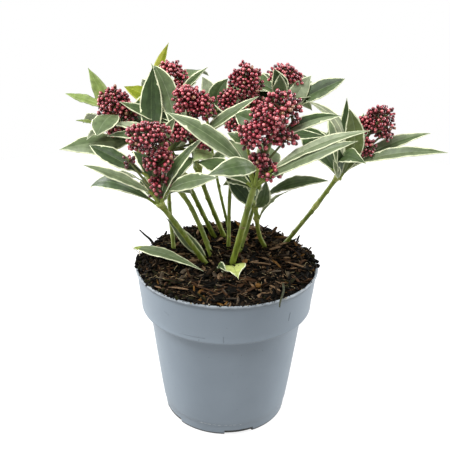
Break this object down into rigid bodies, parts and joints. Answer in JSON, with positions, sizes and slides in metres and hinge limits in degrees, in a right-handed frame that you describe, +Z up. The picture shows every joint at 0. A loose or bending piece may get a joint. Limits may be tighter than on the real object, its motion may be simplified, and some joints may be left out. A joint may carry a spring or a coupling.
{
  "type": "potted skimmia",
  "caption": "Small evergreen shrub in a round plastic pot: upright stems, whorls of pale-edged leaves and rounded heads of red flower buds.",
  "frame": {"origin": "middle of the pot's flat underside", "axes": "+Z up; -Y is the front that the flower heads crowd towards; +X to the right seen from the front"},
  "size_m": [0.259, 0.1748, 0.26],
  "materials": {
    "pot_plastic": "satin blue-grey",
    "compost": "loose, dark brown",
    "stem": "smooth green bark",
    "leaf": "satin green with a cream edge",
    "bud": "satin dark red"
  },
  "bodies": {
    "root": {"pot": "pot_plastic", "soil": "compost", "stem_front_left": "stem", "stem_back_left": "stem", "stem_left": "stem", "stem_inner": "stem", "stem_centre": "stem", "stem_back": "stem", "stem_upper": "stem", "stem_front": "stem", "stem_back_right": "stem", "stem_low": "stem", "stem_right": "stem", "leaves_front_left": "leaf", "leaves_back_left": "leaf", "leaves_left": "leaf", "leaves_inner": "leaf", "leaves_centre": "leaf", "leaves_back": "leaf", "leaves_upper": "leaf", "leaves_front": "leaf", "leaves_back_right": "leaf", "leaves_low": "leaf", "leaves_right": "leaf", "flowers_front_left": "bud", "flowers_back_left": "bud", "flowers_left": "bud", "flowers_inner": "bud", "flowers_centre": "bud", "flowers_upper": "bud", "flowers_front": "bud", "flowers_back_right": "bud", "flowers_right": "bud"}
  },
  "joints": []
}
